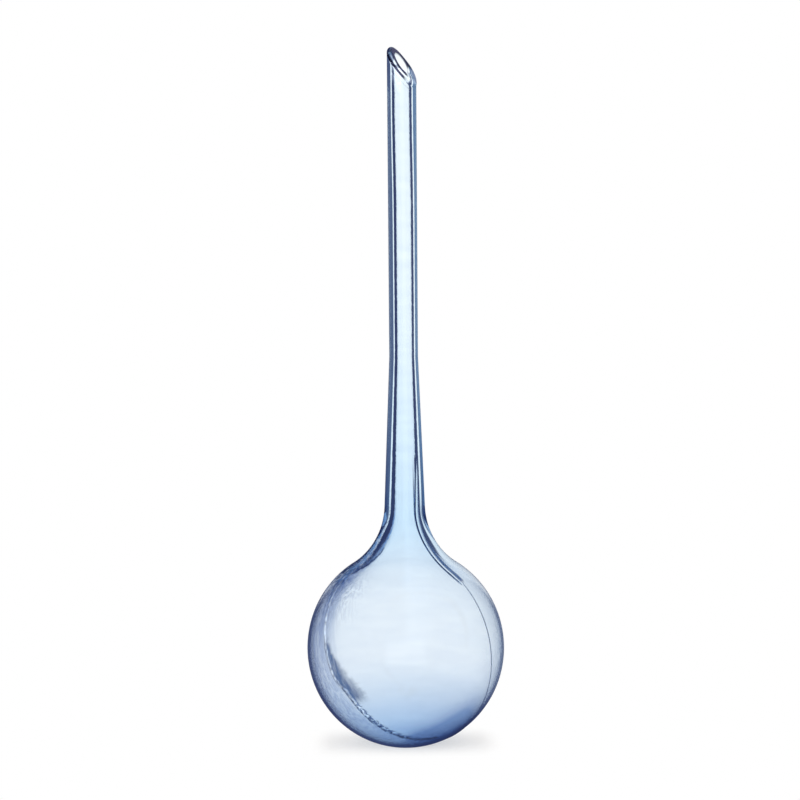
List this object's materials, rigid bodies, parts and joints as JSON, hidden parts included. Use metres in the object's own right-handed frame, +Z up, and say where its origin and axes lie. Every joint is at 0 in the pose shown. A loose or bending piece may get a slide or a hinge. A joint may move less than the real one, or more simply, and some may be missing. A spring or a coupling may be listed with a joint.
{
  "type": "watering globe",
  "caption": "Hollow see-through plastic globe on a long open stem with a slanted mouth; filled with water and pushed stem first into soil to water a pot plant slowly.",
  "frame": {"origin": "lowest point of the bulb, on the axis of the stem", "axes": "+Z up along the stem towards the open mouth; the mould's parting plane is XZ, and the mouth slants down towards +X, turned 4 degrees towards -Y"},
  "size_m": [0.0802, 0.08, 0.28],
  "materials": {
    "clear_blue_plastic": "clear light blue moulded plastic, glossy, slightly wavy"
  },
  "bodies": {
    "root": {"front_half_shell": "clear_blue_plastic", "rear_half_shell": "clear_blue_plastic", "right_neck_weld": "clear_blue_plastic", "left_neck_weld": "clear_blue_plastic", "base_pinch_weld": "clear_blue_plastic", "right_parting_line": "clear_blue_plastic", "left_parting_line": "clear_blue_plastic", "mouth_lip": "clear_blue_plastic"}
  },
  "joints": []
}
